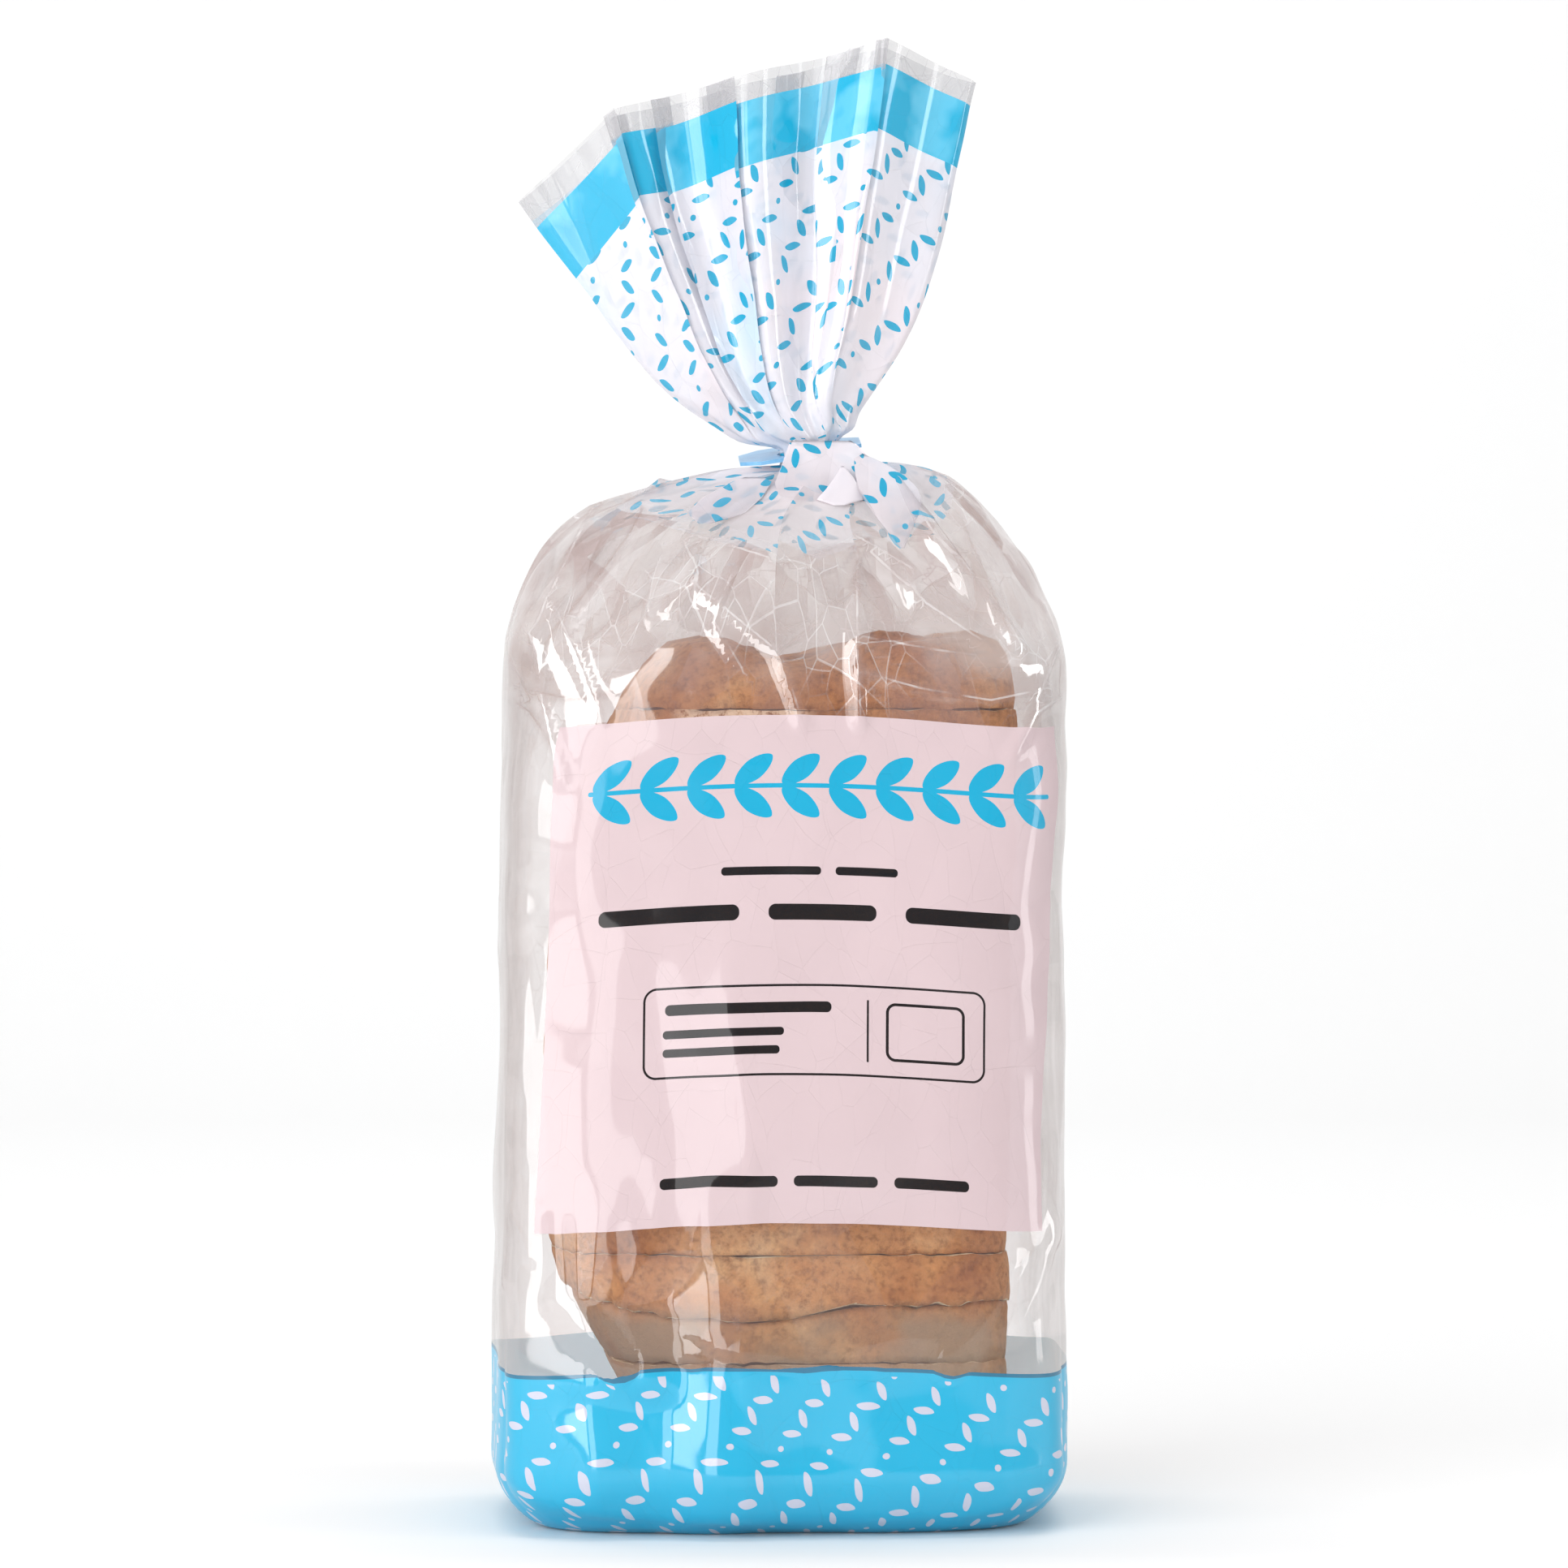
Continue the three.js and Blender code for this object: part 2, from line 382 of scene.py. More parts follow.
crumb, nodes, links, shader = new_material("white crumb")
crumb_place = nodes.new("ShaderNodeTexCoord").outputs["Object"]
pores = grained(crumb_place, 420, 4, 0.6, 0.8, 0.8 * MM)
crumb_colour = colour_ramp(pores, [(0.35, (0.5, 0.36, 0.2)), (0.55, (0.8, 0.66, 0.45))])
links.new(crumb_colour, shader.inputs["Base Color"])
shader.inputs["Roughness"].default_value = 0.9

cuts = [LOAF_FOOT, *(FIRST_CUT + i * SLICE_THICKNESS for i in range(SLICES + 1)), LOAF_TOP]
for number, (low, high) in enumerate(zip(cuts, cuts[1:])):
    heel = number in (0, SLICES + 1)
    name = "heel" if heel else "slice"
    piece = make_slice(f"{name}_{number + 1:02d}", low, high, number + 3)
    piece.data.materials.append(crust)
    piece.data.materials.append(crust if heel else crumb)
    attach(piece, "root")
    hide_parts("bag")

# The bag
# A gusseted tube of clear film, 0.03 mm thick and printed on its outside: a blue foot band, a pale panel,
# a milky top with rows of small marks, and a blue stripe under the clear lip of the mouth. Its foot is
# sealed, its neck is gathered into the clip, and the tail above fans out into folds.

FILM_COLUMNS = 300
FILM_ROWS = 272
FILM_WIDTH = 436.0
FILM_LENGTH = 408.0
NECK_STATION = 14
NECK_X = 7.5
NECK_HALF = 6.6
CROWN_CORNER = 0.59
FOLD_PITCH = 0.585
GATHERS = 12
half_body = (bag_high.x - bag_low.x) / 2 / MM
half_deep = (bag_high.y - bag_low.y) / 2 / MM

# The film from the foot's seam to the mouth, in mm: left x and z, right x and z, half depth, squareness
# of the section, depth of the gathers, rise of the middle over the ends, and depth of the fan's folds
STATIONS = [
    (-48, 0.5, 48, 0.5, 0.2, 2.2, 0, 0, 0),
    (-57.5, 0, 57.5, 0, 39, 4.5, 0, 0, 0),
    (5 - half_body, 4.5, half_body - 5, 4.5, half_deep - 4.5, 4.5, 0, 0, 0),
    (-half_body, 16, half_body, 16, half_deep, 5, 0, 0, 0),
    (-half_body, 41, half_body, 41, half_deep, 5, 0, 0, 0),
    (1 - half_body, 115, half_body - 1, 115, half_deep, 5, 0, 0, 0),
    (1.8 - half_body, 180, half_body, 180, half_deep - 1, 5, 0, 0, 0),
    (2.7 - half_body, 207, half_body, 207, half_deep - 4, 4.2, 0, 0, 0),
    (-62.5, 229, 64, 229, 38, 3.6, 0, 0, 0),
    (-52.5, 242, 56, 241.5, 28, 3, 0.01, 0, 0),
    (-34, 250.8, 47, 250.8, 18, 2.5, 0.03, 0, 0),
    (-16, 254.9, 37.5, 256, 9.5, 2.2, 0.05, 0, 0),
    (NECK_X - NECK_HALF, 256.6, NECK_X + NECK_HALF, 257.8, NECK_HALF, 2, 0.06, 0, 0),
    (NECK_X - NECK_HALF, 258.8, NECK_X + NECK_HALF, 261, NECK_HALF - 0.4, 2, 0.05, 0, 0),
    (NECK_X - NECK_HALF - 0.6, 260.6, NECK_X + NECK_HALF + 0.6, 263, NECK_HALF + 0.2, 2, 0.06, 0, 0),
    (-7.5, 261.8, 18, 265.6, 8, 2, 0.06, 0.8, 0.3),
    (-16, 266.5, 19.5, 269, 9.5, 2, 0.04, 2, 1.2),
    (-28.5, 275.2, 25.4, 276.5, 11, 2, 0, 5, 2.3),
    (-40.8, 289.6, 33.7, 291, 12, 2, 0, 9, 3.2),
    (-51.7, 304.3, 39.6, 308, 13, 2, 0, 12.5, 3.9),
    (-57.8, 312.8, 44.2, 327, 13.5, 2, 0, 14.5, 4.3),
    (-63.2, 320.8, 49.5, 350, 14, 2, 0, 15.5, 4.6),
]


def bag_rings(place, angle):
    """Points in mm of the bag's surface. The angle is 0 at the right end and a quarter turn at the back."""
    columns = [between(column, place)[:, None] for column in zip(*STATIONS)]
    left_x, left_z, right_x, right_z, depth, square, gather, crown, fold = columns
    across = np.sign(np.cos(angle)) * np.abs(np.cos(angle)) ** (2 / square)
    deep = np.sign(np.sin(angle)) * np.abs(np.sin(angle)) ** (2 / square)
    swell = 1 + gather * np.cos(GATHERS * angle)
    wave = -fold * np.cos((across + CROWN_CORNER) / FOLD_PITCH * 2 * np.pi)
    x = (left_x + right_x) / 2 + (right_x - left_x) / 2 * across * swell
    y = depth * deep * swell + wave * (1 - across**8)
    rise = crown * np.minimum(1, (1 - np.abs(across)) / (1 - CROWN_CORNER))
    z = left_z + (right_z - left_z) * (across + 1) / 2 + rise
    return np.stack([x, y, z], axis=-1)


# Pleats of the fan, seen from the front and from the back: where each lies across the fan, how far the film
# doubles over there in mm, and whether the left side (1) or the right side (-1) lies on top
FRONT_PLEATS = [(-0.6, 2.5, 1), (-0.4, 5, -1), (-0.13, 7, 1), (0.385, 8, -1), (0.575, 3, 1)]
BACK_PLEATS = [(-0.56, 4, 1), (-0.2, 7, -1), (0.15, 6, 1), (0.56, 4, -1)]
PLEAT_DEPTH = 0.9
FAN_HALF = 56.0


def pleated_half(pleats, half_columns, opened):
    """Across and out-of-plane places of half a row of film that runs to and fro through its pleats, with
    the number of the strip that each square belongs to."""
    corners = [(-1.0, 0.0)]
    for middle, doubled, side in pleats:
        reach = doubled * opened / FAN_HALF / 2
        depth = side * PLEAT_DEPTH * opened
        corners += [(middle + reach, depth), (middle - reach, -depth)]
    corners.append((1.0, 0.0))
    unfolded = [-1.0]
    for middle, doubled, side in pleats:
        unfolded += [middle + doubled / FAN_HALF / 2, middle - doubled / FAN_HALF / 2]
    unfolded.append(1.0)
    lengths = np.abs(np.diff(unfolded))
    knots = np.round(np.cumsum(lengths) / lengths.sum() * half_columns).astype(int)
    knots = np.concatenate([[0], knots])
    columns = np.arange(half_columns + 1)
    across = np.interp(columns, knots, [place for place, _ in corners])
    out = np.interp(columns, knots, [place for _, place in corners])
    strip = np.searchsorted(knots, columns[:-1], side="right") - 1
    return across, out, strip


def film_surface():
    """The film at even steps of its own length and width: each row's station, its points in mm, and the
    number of the strip or gather that each square of a row belongs to."""
    share = np.linspace(0, 1, 361)[:-1]
    quarter_turn = share**3 / (share**3 + (1 - share) ** 3)
    turns = np.concatenate([quarter_turn + k for k in range(1, 5)] + [[5.0]]) * np.pi / 2
    place = np.linspace(0, len(STATIONS) - 1, 1201)
    dense = bag_rings(place, np.broadcast_to(turns, (len(place), len(turns))))
    rise = np.linalg.norm(np.diff(dense, axis=0), axis=-1).mean(axis=1)
    climbed = np.concatenate([[0], np.cumsum(rise)])
    even = np.linspace(0, climbed[-1], FILM_ROWS + 1)
    row_place = np.interp(even, climbed, place)
    dense = bag_rings(row_place, np.broadcast_to(turns, (len(row_place), len(turns))))
    shares = np.linspace(0, 1, FILM_COLUMNS + 1)
    angles = np.empty((FILM_ROWS + 1, FILM_COLUMNS + 1))
    out = np.zeros(angles.shape)
    half, quarter = FILM_COLUMNS // 2, FILM_COLUMNS // 4
    for row, line in enumerate(dense):
        walked = np.concatenate([[0], np.cumsum(np.linalg.norm(np.diff(line, axis=0), axis=-1))])
        angles[row] = np.interp(shares, walked / walked[-1], turns)
        opened = float(np.interp(row_place[row], [14.6, 16.2, 18.5], [0, 0.45, 1]))
        across, front_out, front_strip = pleated_half(FRONT_PLEATS, half, opened)
        front_turn = 2 * np.pi - np.arccos(np.clip(across, -1, 1))
        across, back_out, back_strip = pleated_half(BACK_PLEATS, half, opened)
        back_turn = 2 * np.pi + np.arccos(np.clip(-across, -1, 1))
        pleated = np.empty(FILM_COLUMNS + 1)
        pleated[quarter : quarter + half + 1] = front_turn
        pleated[quarter + half :] = back_turn[: quarter + 1]
        pleated[: quarter + 1] = back_turn[half - quarter :] - 2 * np.pi
        out[row, quarter : quarter + half + 1] = -front_out
        out[row, quarter + half :] = back_out[: quarter + 1]
        out[row, : quarter + 1] = back_out[half - quarter :]
        turned = float(np.interp(row_place[row], [14.4, 17.2], [0, 1]))
        turned = turned * turned * (3 - 2 * turned)
        angles[row] = angles[row] * (1 - turned) + pleated * turned
    strips = np.concatenate([back_strip[half - quarter :], front_strip + 20, back_strip[:quarter]])
    points = bag_rings(row_place, angles)
    points[..., 1] += out
    return row_place, points, strips


row_place, film_points, strips = film_surface()
row_place = row_place[:, None]

# The film is one straight cut tube. Below the neck its length is counted from the foot, and above it
# back from the mouth, so that what differs between the columns is taken up in the gathered neck.
column_steps = np.linalg.norm(np.diff(film_points, axis=0), axis=-1)
climbed = np.concatenate([np.zeros((1, FILM_COLUMNS + 1)), np.cumsum(column_steps, axis=0)])
from_foot = climbed - climbed[int(np.searchsorted(row_place[:, 0], 1.0))]
from_mouth = climbed[-1] - climbed
film_v = np.where(row_place <= NECK_STATION - 1, from_foot, FILM_LENGTH - from_mouth)
film_place = np.broadcast_to(row_place, film_v.shape)
film_u = np.broadcast_to(np.linspace(0, FILM_WIDTH, FILM_COLUMNS + 1), film_v.shape)

# Where the film is gathered, what shows between two folds is flat and keeps its printed scale, and the
# rest is tucked away. So each strip between folds is laid out at true size round its own middle.
GATHER_STARTS = [0, 17, 41, 60, 82, 97, 118, 131, 148, 166, 187, 201, 222, 240, 259, 281]


def laid_out(groups):
    steps = np.linalg.norm(np.diff(film_points, axis=1), axis=-1)
    walked = np.concatenate([np.zeros((len(steps), 1)), np.cumsum(steps, axis=1)], axis=1)
    start = np.array(film_u[:, :-1])
    end = np.array(film_u[:, 1:])
    for group in np.unique(groups):
        squares = np.flatnonzero(groups == group)
        middle = (squares[0] + squares[-1] + 1) // 2
        start[:, squares] = film_u[:, [middle]] + walked[:, squares] - walked[:, [middle]]
        end[:, squares] = film_u[:, [middle]] + walked[:, squares + 1] - walked[:, [middle]]
    return start, end


gathers = np.searchsorted(GATHER_STARTS, np.arange(FILM_COLUMNS), side="right")
shoulder_start, shoulder_end = laid_out(gathers)
fan_start, fan_end = laid_out(strips)
to_shoulder = np.interp(row_place, [7.6, 9.2], [0, 1])
to_fan = np.interp(row_place, [13.5, 14.5], [0, 1])
u_start = film_u[:, :-1] * (1 - to_shoulder) + shoulder_start * to_shoulder
u_end = film_u[:, 1:] * (1 - to_shoulder) + shoulder_end * to_shoulder
u_start = u_start * (1 - to_fan) + fan_start * to_fan
u_end = u_end * (1 - to_fan) + fan_end * to_fan


def slid(groups, farthest, tilt, seed):
    """How far the film of each group has slid up or down at the start and the end of its squares."""
    random.seed(seed)
    start = np.zeros(FILM_COLUMNS)
    end = np.zeros(FILM_COLUMNS)
    for group in np.unique(groups):
        squares = np.flatnonzero(groups == group)
        ends = [random.uniform(-farthest, farthest) + side * random.uniform(-tilt, tilt) for side in (-1, 1)]
        share = np.arange(len(squares) + 1) / len(squares)
        slide = ends[0] + (ends[1] - ends[0]) * share
        start[squares], end[squares] = slide[:-1], slide[1:]
    return start, end


shoulder_slide = slid(gathers, 4.5, 3.0, 5)
fan_slide = slid(strips, 0.8, 0.9, 8)
v_start = film_v[:, :-1] + shoulder_slide[0] * to_shoulder * (1 - to_fan) + fan_slide[0] * to_fan
v_end = film_v[:, 1:] + shoulder_slide[1] * to_shoulder * (1 - to_fan) + fan_slide[1] * to_fan


def film_sheet(name, points, starts, ends):
    """A sheet of even squares through the points. Its UV map holds each place on the flat film in metres,
    given across and along the film at the start and at the end of each square of a row. Points of the
    first and the last column that lie together are welded, which makes a tube."""
    rows, columns = points.shape[0] - 1, points.shape[1] - 1
    bm = bmesh.new()
    bmesh.ops.create_grid(bm, x_segments=columns, y_segments=rows, size=0.5)
    uv = bm.loops.layers.uv.new("film")
    row_layer = bm.verts.layers.int.new("row")
    column_layer = bm.verts.layers.int.new("column")
    for v in bm.verts:
        row = round((v.co.y + 0.5) * rows)
        column = round((v.co.x + 0.5) * columns)
        v[row_layer] = row
        v[column_layer] = column
        v.co = Vector(points[row, column]) * MM
    for f in bm.faces:
        square = min(vert[column_layer] for vert in f.verts)
        for loop in f.loops:
            row, column = loop.vert[row_layer], loop.vert[column_layer]
            across, along = starts if column == square else ends
            loop[uv].uv = (across[row, square] * MM, along[row, square] * MM)
        f.smooth = True
    sides = [v for v in bm.verts if v[column_layer] in (0, columns)]
    bmesh.ops.remove_doubles(bm, verts=sides, dist=0.0005 * MM)
    return finished(bm, name)


def read_whole(mesh, name):
    values = np.zeros(len(mesh.vertices), int)
    mesh.attributes[name].data.foreach_get("value", values)
    return values


def mark_creases(piece, place):
    """Gives each point its distance in mm across the nearest crease, and a value of 1 at a crease that
    falls to 0 beside it."""
    across = place[read_whole(piece.data, "row"), read_whole(piece.data, "column")]
    piece.data.attributes.new("crease", "FLOAT", "POINT").data.foreach_set("value", across)
    near = np.clip(1 - np.abs(across) / 4, 0, 1)
    piece.data.attributes.new("near_crease", "FLOAT", "POINT").data.foreach_set("value", near)


def film_normals(points):
    across = np.gradient(points, axis=1)
    across[:, 0] = across[:, -1] = points[:, 1] - points[:, -2]
    normals = np.cross(across, np.gradient(points, axis=0))
    return normals / np.maximum(np.linalg.norm(normals, axis=-1, keepdims=True), 1e-9)


# Slack film moves in broad shallow waves over the flat sides, and in short ones round the shoulders
outward = film_normals(film_points)
column = np.arange(FILM_COLUMNS + 1) % FILM_COLUMNS
gather_number = np.searchsorted(GATHER_STARTS, column, side="right")
gather_low = np.array(GATHER_STARTS)[gather_number - 1]
gather_high = np.array(GATHER_STARTS[1:] + [FILM_COLUMNS])[gather_number - 1]
in_gather = (column - gather_low) / (gather_high - gather_low)
step = (in_gather - 0.5) * 2 * np.where(gather_number % 3 == 0, -1, 1)
step_height = np.interp(film_place, [7, 9.5, 11.5, 12.6], [0, 0.9, 0.8, 0])
film_points = film_points + outward * (step_height * step)[..., None]
broad = np.array([[noise.noise(Vector(p) / 34) for p in line] for line in film_points])
short = np.array([[noise.noise(Vector(p) / 13 + Vector((7, 0, 3))) for p in line] for line in film_points])
BROAD_STATIONS = [0, 1.5, 3, 4, 7, 9, 12, 14, 17, 21]
BROAD_HEIGHTS = [0, 0.3, 1, 1.5, 1.9, 1.6, 0.4, 0, 0.8, 1]
SHORT_STATIONS = [0, 5, 7, 9, 12, 14, 17, 21]
SHORT_HEIGHTS = [0.15, 0.3, 0.9, 1, 0.2, 0, 0.3, 0.3]
wave_height = np.interp(film_place, BROAD_STATIONS, BROAD_HEIGHTS)
short_height = np.interp(film_place, SHORT_STATIONS, SHORT_HEIGHTS)
waves = wave_height * broad + short_height * short - 0.5 * wave_height
film_points = film_points + outward * waves[..., None]

# Creases in the front of the film as lines of x and z in mm, each with its width and height. They run over
# the back too, turned the other way, and the broad ones bear no painted white highlight line.
BROAD_CREASE = 10
CREASES = [
    ([(17.7, 234), (17.2, 215), (17.8, 194)], 3.2, 1.7),
    ([(28.5, 251), (36.3, 238), (44, 228), (53.8, 215.5), (56, 211.6)], 4.2, 3.0),
    ([(21, 234), (34, 222), (46, 214), (55, 209)], 2.6, 1.2),
    ([(18, 238), (31, 230), (31, 222)], 3, 1.3),
    ([(19, 214), (36, 211), (53, 209)], 2.2, 0.8),
    ([(18, 206), (32, 202), (49, 199), (63, 202)], 2.4, 0.9),
    ([(-54.4, 222), (-44, 196)], 3.4, 1.2),
    ([(-45, 245), (-51, 233), (-59.5, 214)], 3.6, 1.5),
    ([(-59, 214), (-57.5, 200), (-53, 180)], 3, 1.3),
    ([(-36, 243), (-22, 238.5), (-4, 233)], 3, 1.2),
    ([(-22, 227), (-1, 210), (4, 194)], 3.4, 1.4),
    ([(-24, 238), (-20, 228), (-27, 222)], 3, 1.2),
    ([(-12, 230), (-17, 218), (-10, 206)], 3, 1),
    ([(-28, 52.5), (-14, 46.2), (10.5, 41)], 3.0, 0.45),
    ([(-53.4, 75), (-52.5, 57), (-39.8, 41)], 4.5, 1.6),
    ([(-36, 74), (-33, 55), (-22, 44)], 4.0, 0.5),
    ([(53, 66), (47, 54), (38.8, 42)], 4, 1.4),
    ([(66, 74), (60, 60), (52, 50)], 4, 1.2),
    ([(60, 200), (66, 212), (62, 222)], 3, 1.2),
    ([(-66.5, 195), (-65, 130), (-66.5, 60)], 3, 1.1),
    ([(-62, 160), (-62.5, 110), (-60.5, 66)], 2.6, 0.8),
    ([(65, 150), (66.5, 105), (64, 70)], 3, 1.0),
    ([(-17, 8), (-16.5, 45), (-19, 82)], 17, 1.5),
    ([(24, 10), (20, 34), (27, 58)], 14, 1.0),
    ([(-44, 10), (-48, 40), (-44, 76)], 12, 1.2),
    ([(54, 186), (60, 196), (66, 200)], 3, 1.2),
]


def line_distance(x, z, corners):
    """Distance in mm from a line through the corners, less than 0 on its other side."""
    least = np.full(x.shape, 1e9)
    for (x0, z0), (x1, z1) in zip(corners, corners[1:]):
        dx, dz = x1 - x0, z1 - z0
        t = np.clip(((x - x0) * dx + (z - z0) * dz) / (dx * dx + dz * dz), 0, 1)
        apart = np.hypot(x - x0 - t * dx, z - z0 - t * dz)
        side = np.where(dx * (z - z0) - dz * (x - x0) < 0, -1, 1)
        least = np.where(apart < np.abs(least), apart * side, least)
    return least


outward = film_normals(film_points)
crease_place = np.full(film_v.shape, 1e9)
for side in (-1, 1):
    facing = np.clip((outward[..., 1] * side - 0.1) / 0.3, 0, 1)
    side_x = film_points[..., 0] * -side
    side_z = film_points[..., 2]
    for crease, width, raised in CREASES:
        apart = line_distance(side_x, side_z, crease)
        ridge = np.clip(1 - np.abs(apart) / width, 0, 1) ** 1.3 * facing * (film_place < 12.5)
        film_points = film_points + outward * (raised * ridge)[..., None]
        nearer = (np.abs(apart) < np.abs(crease_place)) & (facing > 0.3) & (width < BROAD_CREASE)
        crease_place = np.where(nearer, apart, crease_place)
crease_place = np.clip(crease_place, -6, 6)

# The foot of the front leans out, and over it stand tall folds whose left slopes catch the light: heights
# and places of the crest in mm, the width of the left and of the right slope, and how far the crest
# stands out
LIT_FOLDS = [
    ([0, 30, 60, 96, 130, 165], [-10.5, -10, -9, -9, -13, -16], 18, 40, 3.4),
    ([30, 44, 57, 69, 84, 104], [-33, -33, -38.5, -33, -29, -33], 21, 9, 2.6),
    ([4, 20, 44, 60], [-46, -44.5, -46, -47], 12, 10, 1.4),
    ([40, 66, 84], [24, 27, 30], 10, 24, 1.1),
]
LEAN_HEIGHTS = [0, 7, 14, 50, 78, 96, 112]
LEAN_OUT = [0, 3.4, 5.4, 3.6, 0.9, 0.3, 0]
outward = film_normals(film_points)
facing = np.clip((-outward[..., 1] - 0.4) / 0.4, 0, 1)
leaning_out = np.interp(film_points[..., 2], LEAN_HEIGHTS, LEAN_OUT)
film_points = film_points + outward * (leaning_out * facing)[..., None]
for heights, crest, left_width, right_width, raised in LIT_FOLDS:
    fold_z = film_points[..., 2]
    beside = film_points[..., 0] - np.interp(fold_z, heights, crest)
    slope = np.where(beside < 0, 1 + beside / left_width, 1 - beside / right_width)
    fading = np.clip(np.minimum((fold_z - heights[0]) / 9, (heights[-1] - fold_z) / 50), 0, 1)
    bulge = np.clip(slope, 0, 1) * fading * fading * (3 - 2 * fading) * facing
    film_points = film_points + outward * (raised * bulge)[..., None]
film_points[:, -1] = film_points[:, 0]

film = film_sheet("bag_film", film_points, (u_start, v_start), (u_end, v_end))

# The folds of the tail are creased sharply
row_of, column_of = read_whole(film.data, "row"), read_whole(film.data, "column")
edge_ends = np.zeros(len(film.data.edges) * 2, int)
film.data.edges.foreach_get("vertices", edge_ends)
near_end, far_end = edge_ends.reshape(-1, 2).T
creased = np.flatnonzero(strips != np.roll(strips, 1))
first_fan_row = int(np.searchsorted(row_place[:, 0], 15.2))
sharp = (column_of[near_end] == column_of[far_end]) & np.isin(column_of[near_end], creased)
sharp &= (row_of[near_end] >= first_fan_row) & (row_of[far_end] >= first_fan_row)
film.data.attributes.new("sharp_edge", "BOOLEAN", "EDGE").data.foreach_set("value", sharp)
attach(film, "root")
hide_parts("bag")

# The print, by its place on the flat film in mm: u across from the middle of the back, v up from the foot
film_material, nodes, links, shader = new_material("bag film")
uv_node = nodes.new("ShaderNodeUVMap")
uv_node.uv_map = "film"
flat_place = uv_node.outputs["UV"]
flat_axes = axes_of(flat_place)
u = both(flat_axes["X"], 1000.0)
v = both(flat_axes["Y"], 1000.0)
front = less(u, FILM_WIDTH / 2)
back = maths("ABSOLUTE", less(maths("ABSOLUTE", front), FILM_WIDTH / 2))


def oval(across, half_across, along, half_along, power):
    """Distance from the middle of an oval, 1 at its edge. A low power makes its ends pointed."""
    across = maths("POWER", maths("ABSOLUTE", maths("DIVIDE", across, half_across)), power)
    along = maths("POWER", maths("ABSOLUTE", maths("DIVIDE", along, half_along)), power)
    return maths("ADD", across, along)


# Rows of grain shapes climb to the right, and every fifth one is a dot
MARK_PITCH = 4.7
MARK_ROWS = 10.6
ROW_SHIFT = 7.3
MARK_TILT = math.radians(52)
along_row = maths("ADD", both(u, math.cos(MARK_TILT)), both(v, math.sin(MARK_TILT)))
over_row = less(both(v, math.cos(MARK_TILT)), both(u, math.sin(MARK_TILT)))
row_share = maths("DIVIDE", over_row, MARK_ROWS)
row_number = maths("FLOOR", row_share)
row_rest = both(less(less(row_share, row_number), 0.5), MARK_ROWS)
mark_share = maths("DIVIDE", maths("ADD", along_row, both(row_number, ROW_SHIFT)), MARK_PITCH)
mark_number = maths("FLOOR", mark_share)
mark_rest = both(less(less(mark_share, mark_number), 0.5), MARK_PITCH)
mark_lean = less(both(maths("FLOORED_MODULO", mark_number, 2.0), 1.1), 0.55)
grain = oval(less(mark_rest, both(row_rest, mark_lean)), 1.15, row_rest, 2.1, 1.6)
dot = oval(mark_rest, 0.75, row_rest, 0.75, 2.0)
is_dot = maths("GREATER_THAN", maths("FLOORED_MODULO", mark_number, 5.0), 3.5)
marks = maths("LESS_THAN", blend_value(grain, dot, is_dot), 1.0)


def rounded_box(middle, height, half_width, half_height, corner):
    """Distance in mm from the edge of a rounded box on the front of the film, less than 0 inside it."""
    over_u = less(maths("ABSOLUTE", less(front, middle)), half_width - corner)
    over_v = less(maths("ABSOLUTE", less(v, height)), half_height - corner)
    out_u = maths("POWER", maths("MAXIMUM", over_u, 0.0), 2.0)
    out_v = maths("POWER", maths("MAXIMUM", over_v, 0.0), 2.0)
    outside = maths("SQRT", maths("ADD", out_u, out_v))
    inner = maths("MINIMUM", maths("MAXIMUM", over_u, over_v), 0.0)
    return less(maths("ADD", outside, inner), corner)


def bar(middle, height, half_width, half_height):
    corner = min(half_width, half_height) * 0.9
    return maths("LESS_THAN", rounded_box(middle, height, half_width, half_height, corner), 0.0)


def outline(middle, height, half_width, half_height, corner, line):
    distance = maths("ABSOLUTE", rounded_box(middle, height, half_width, half_height, corner))
    return maths("LESS_THAN", distance, line / 2)


# The panel widens and drifts to the right as it climbs
PANEL_LOW = 80.0
PANEL_HIGH = 200.4
climb = maths("DIVIDE", less(v, PANEL_LOW), 120.0)
panel_left = maths("ADD", both(climb, 3.0), -60.0)
panel_right = maths("ADD", both(climb, 8.0), 63.0)
panel_height = within(v, PANEL_LOW, PANEL_HIGH)
front_panel = both(maths("GREATER_THAN", front, panel_left), maths("LESS_THAN", front, panel_right))
front_panel = both(front_panel, panel_height)
panels = either(front_panel, both(maths("LESS_THAN", back, 52.0), panel_height))

# A band of leaning leaves across the top of the panel
LEAF_PITCH = 11.4
LEAF_HEIGHT = 183.6
leaf_share = maths("DIVIDE", maths("ADD", front, 48.5), LEAF_PITCH)
leaf_rest = both(less(maths("FRACT", leaf_share), 0.5), LEAF_PITCH)
leaf_side = less(maths("ABSOLUTE", less(v, LEAF_HEIGHT)), 3.9)
leaf_along = maths("ADD", both(leaf_rest, 0.8), both(leaf_side, 0.6))
leaf_over = less(both(leaf_side, 0.8), both(leaf_rest, 0.6))
leaves = maths("LESS_THAN", oval(leaf_along, 5.6, leaf_over, 2.5, 1.7), 1.0)
leaves = both(leaves, within(front, -48.5, 65.5))
leaf_band = both(either(leaves, bar(8.5, LEAF_HEIGHT, 57.0, 0.55)), front_panel)

